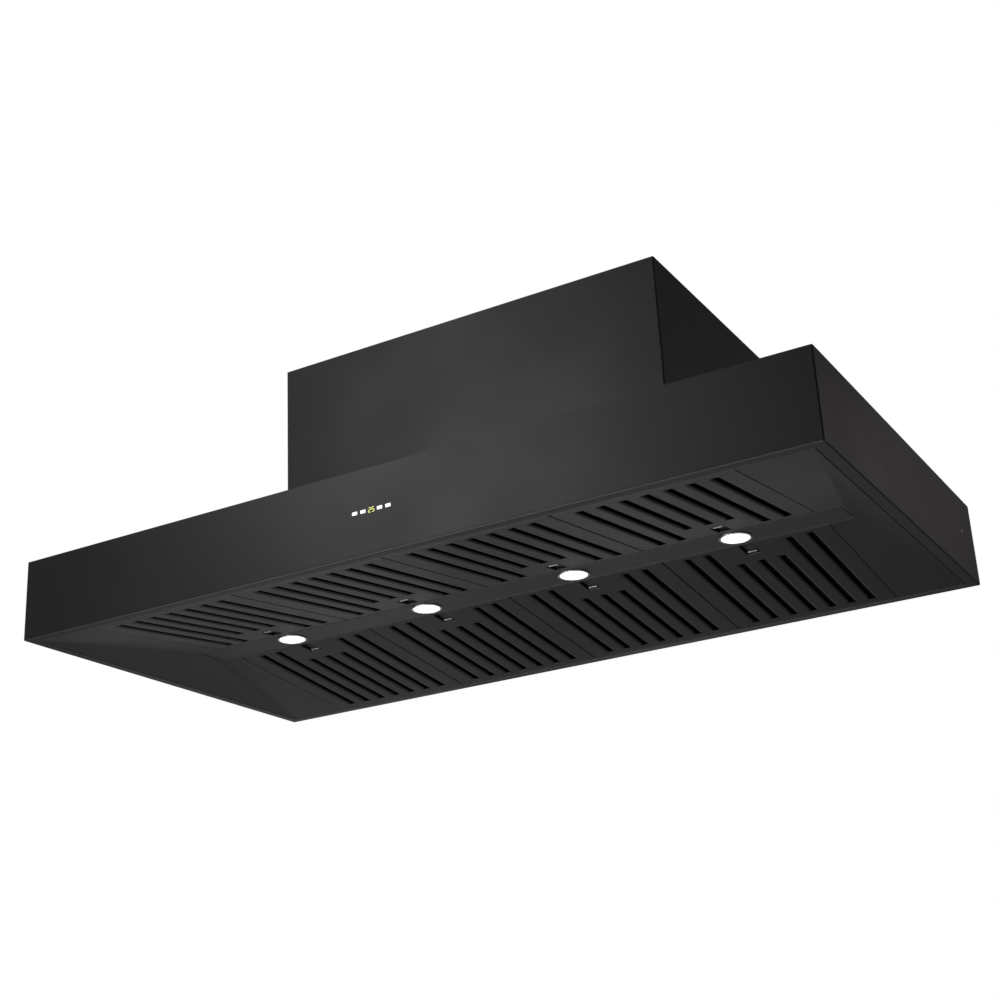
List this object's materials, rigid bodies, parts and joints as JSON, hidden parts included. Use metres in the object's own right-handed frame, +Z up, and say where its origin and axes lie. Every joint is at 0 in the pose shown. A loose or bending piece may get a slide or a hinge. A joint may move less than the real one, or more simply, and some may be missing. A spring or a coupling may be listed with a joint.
{
  "type": "range hood",
  "caption": "Wide black ceiling-hung range hood with a chimney, slotted baffle filters that tilt down, lamps along a light bar, push buttons and two blowers.",
  "frame": {"origin": "the middle of the hood's outline seen from above, at its lowest edge", "axes": "+X along the hood's length, +Y to its back, +Z up"},
  "size_m": [1.5, 0.8, 0.548],
  "materials": {
    "powder_coat": "matt black powder coat with a fine grain",
    "filter_coat": "satin black powder coat",
    "bezel_steel": "satin",
    "latch_steel": "bright pressed steel",
    "galvanised": "galvanised sheet with a faint spangle",
    "motor_aluminium": "die cast",
    "black_plastic": "moulded, fine texture",
    "lit_plastic": "backlit, translucent white",
    "display_window": "dark moulded module; its window shows lit digits",
    "opal_lens": "opal diffuser, lit"
  },
  "bodies": {
    "hood": {"canopy_shell": "powder_coat", "canopy_top_plate": "powder_coat", "liner_front": "powder_coat", "liner_rear": "powder_coat", "liner_end_left": "powder_coat", "liner_end_right": "powder_coat", "light_bar": "powder_coat", "chimney_cover": "powder_coat", "ceiling_frame": "galvanised", "lamp_housing_1": "bezel_steel", "lamp_lens_1": "opal_lens", "lamp_housing_2": "bezel_steel", "lamp_lens_2": "opal_lens", "lamp_housing_3": "bezel_steel", "lamp_lens_3": "opal_lens", "lamp_housing_4": "bezel_steel", "lamp_lens_4": "opal_lens", "control_module": "display_window", "motor_box": "galvanised", "blower_housing_left": "galvanised", "blower_motor_left": "motor_aluminium", "duct_collar_left": "black_plastic", "blower_housing_right": "galvanised", "blower_motor_right": "motor_aluminium", "duct_collar_right": "black_plastic", "wiring_box": "black_plastic"},
    "front_filter_1": {"front_filter_1_frame": "filter_coat", "front_filter_1_baffles": "filter_coat"},
    "front_latch_1": {"front_filter_1_latch": "latch_steel"},
    "front_filter_2": {"front_filter_2_frame": "filter_coat", "front_filter_2_baffles": "filter_coat"},
    "front_latch_2": {"front_filter_2_latch": "latch_steel"},
    "front_filter_3": {"front_filter_3_frame": "filter_coat", "front_filter_3_baffles": "filter_coat"},
    "front_latch_3": {"front_filter_3_latch": "latch_steel"},
    "front_filter_4": {"front_filter_4_frame": "filter_coat", "front_filter_4_baffles": "filter_coat"},
    "front_latch_4": {"front_filter_4_latch": "latch_steel"},
    "rear_filter_1": {"rear_filter_1_frame": "filter_coat", "rear_filter_1_baffles": "filter_coat"},
    "rear_latch_1": {"rear_filter_1_latch": "latch_steel"},
    "rear_filter_2": {"rear_filter_2_frame": "filter_coat", "rear_filter_2_baffles": "filter_coat"},
    "rear_latch_2": {"rear_filter_2_latch": "latch_steel"},
    "rear_filter_3": {"rear_filter_3_frame": "filter_coat", "rear_filter_3_baffles": "filter_coat"},
    "rear_latch_3": {"rear_filter_3_latch": "latch_steel"},
    "rear_filter_4": {"rear_filter_4_frame": "filter_coat", "rear_filter_4_baffles": "filter_coat"},
    "rear_latch_4": {"rear_filter_4_latch": "latch_steel"},
    "button_1": {"button_1": "lit_plastic"},
    "button_2": {"button_2": "lit_plastic"},
    "button_3": {"button_3": "lit_plastic"},
    "button_4": {"button_4": "lit_plastic"},
    "wheel_left": {"blower_wheel_left": "galvanised"},
    "flap_left_front": {"damper_flap_left_front": "black_plastic"},
    "flap_left_rear": {"damper_flap_left_rear": "black_plastic"},
    "wheel_right": {"blower_wheel_right": "galvanised"},
    "flap_right_front": {"damper_flap_right_front": "black_plastic"},
    "flap_right_rear": {"damper_flap_right_rear": "black_plastic"}
  },
  "joints": [
    {"name": "front_filter_1_tilt", "type": "hinge", "parent": "hood", "child": "front_filter_1", "pos_m": [-0.45525, -0.3717, 0.00092], "axis": [-1, 0, 0], "range_deg": [0, 75]},
    {"name": "front_latch_1_slide", "type": "slide", "parent": "front_filter_1", "child": "front_latch_1", "axis": [0, -0.9934, -0.1145], "range_m": [0, 0.003], "stiffness_N_per_m": 400, "springref_m": -0.004},
    {"name": "front_filter_2_tilt", "type": "hinge", "parent": "hood", "child": "front_filter_2", "pos_m": [-0.15175, -0.3717, 0.00092], "axis": [-1, 0, 0], "range_deg": [0, 75]},
    {"name": "front_latch_2_slide", "type": "slide", "parent": "front_filter_2", "child": "front_latch_2", "axis": [0, -0.9934, -0.1145], "range_m": [0, 0.003], "stiffness_N_per_m": 400, "springref_m": -0.004},
    {"name": "front_filter_3_tilt", "type": "hinge", "parent": "hood", "child": "front_filter_3", "pos_m": [0.15175, -0.3717, 0.00092], "axis": [-1, 0, 0], "range_deg": [0, 75]},
    {"name": "front_latch_3_slide", "type": "slide", "parent": "front_filter_3", "child": "front_latch_3", "axis": [0, -0.9934, -0.1145], "range_m": [0, 0.003], "stiffness_N_per_m": 400, "springref_m": -0.004},
    {"name": "front_filter_4_tilt", "type": "hinge", "parent": "hood", "child": "front_filter_4", "pos_m": [0.45525, -0.3717, 0.00092], "axis": [-1, 0, 0], "range_deg": [0, 75]},
    {"name": "front_latch_4_slide", "type": "slide", "parent": "front_filter_4", "child": "front_latch_4", "axis": [0, -0.9934, -0.1145], "range_m": [0, 0.003], "stiffness_N_per_m": 400, "springref_m": -0.004},
    {"name": "rear_filter_1_tilt", "type": "hinge", "parent": "hood", "child": "rear_filter_1", "pos_m": [-0.45525, 0.3717, 0.00092], "axis": [1, 0, 0], "range_deg": [0, 75]},
    {"name": "rear_latch_1_slide", "type": "slide", "parent": "rear_filter_1", "child": "rear_latch_1", "axis": [0, 0.9934, -0.1145], "range_m": [0, 0.003], "stiffness_N_per_m": 400, "springref_m": -0.004},
    {"name": "rear_filter_2_tilt", "type": "hinge", "parent": "hood", "child": "rear_filter_2", "pos_m": [-0.15175, 0.3717, 0.00092], "axis": [1, 0, 0], "range_deg": [0, 75]},
    {"name": "rear_latch_2_slide", "type": "slide", "parent": "rear_filter_2", "child": "rear_latch_2", "axis": [0, 0.9934, -0.1145], "range_m": [0, 0.003], "stiffness_N_per_m": 400, "springref_m": -0.004},
    {"name": "rear_filter_3_tilt", "type": "hinge", "parent": "hood", "child": "rear_filter_3", "pos_m": [0.15175, 0.3717, 0.00092], "axis": [1, 0, 0], "range_deg": [0, 75]},
    {"name": "rear_latch_3_slide", "type": "slide", "parent": "rear_filter_3", "child": "rear_latch_3", "axis": [0, 0.9934, -0.1145], "range_m": [0, 0.003], "stiffness_N_per_m": 400, "springref_m": -0.004},
    {"name": "rear_filter_4_tilt", "type": "hinge", "parent": "hood", "child": "rear_filter_4", "pos_m": [0.45525, 0.3717, 0.00092], "axis": [1, 0, 0], "range_deg": [0, 75]},
    {"name": "rear_latch_4_slide", "type": "slide", "parent": "rear_filter_4", "child": "rear_latch_4", "axis": [0, 0.9934, -0.1145], "range_m": [0, 0.003], "stiffness_N_per_m": 400, "springref_m": -0.004},
    {"name": "button_1_press", "type": "slide", "parent": "hood", "child": "button_1", "axis": [0, 1, 0], "range_m": [0, 0.001], "stiffness_N_per_m": 500, "springref_m": -0.001},
    {"name": "button_2_press", "type": "slide", "parent": "hood", "child": "button_2", "axis": [0, 1, 0], "range_m": [0, 0.001], "stiffness_N_per_m": 500, "springref_m": -0.001},
    {"name": "button_3_press", "type": "slide", "parent": "hood", "child": "button_3", "axis": [0, 1, 0], "range_m": [0, 0.001], "stiffness_N_per_m": 500, "springref_m": -0.001},
    {"name": "button_4_press", "type": "slide", "parent": "hood", "child": "button_4", "axis": [0, 1, 0], "range_m": [0, 0.001], "stiffness_N_per_m": 500, "springref_m": -0.001},
    {"name": "wheel_left_spin", "type": "hinge", "parent": "hood", "child": "wheel_left", "pos_m": [-0.1855, 0.0895, 0.2903], "axis": [1, 0, 0], "continuous": true},
    {"name": "flap_left_front_swing", "type": "hinge", "parent": "hood", "child": "flap_left_front", "pos_m": [-0.1855, 0.1507, 0.4741], "axis": [-1, 0, 0], "range_deg": [0, 80]},
    {"name": "flap_left_rear_swing", "type": "hinge", "parent": "hood", "child": "flap_left_rear", "pos_m": [-0.1855, 0.1543, 0.4741], "axis": [1, 0, 0], "range_deg": [0, 80]},
    {"name": "wheel_right_spin", "type": "hinge", "parent": "hood", "child": "wheel_right", "pos_m": [0.1855, 0.0895, 0.2903], "axis": [1, 0, 0], "continuous": true},
    {"name": "flap_right_front_swing", "type": "hinge", "parent": "hood", "child": "flap_right_front", "pos_m": [0.1855, 0.1507, 0.4741], "axis": [-1, 0, 0], "range_deg": [0, 80]},
    {"name": "flap_right_rear_swing", "type": "hinge", "parent": "hood", "child": "flap_right_rear", "pos_m": [0.1855, 0.1543, 0.4741], "axis": [1, 0, 0], "range_deg": [0, 80]}
  ]
}
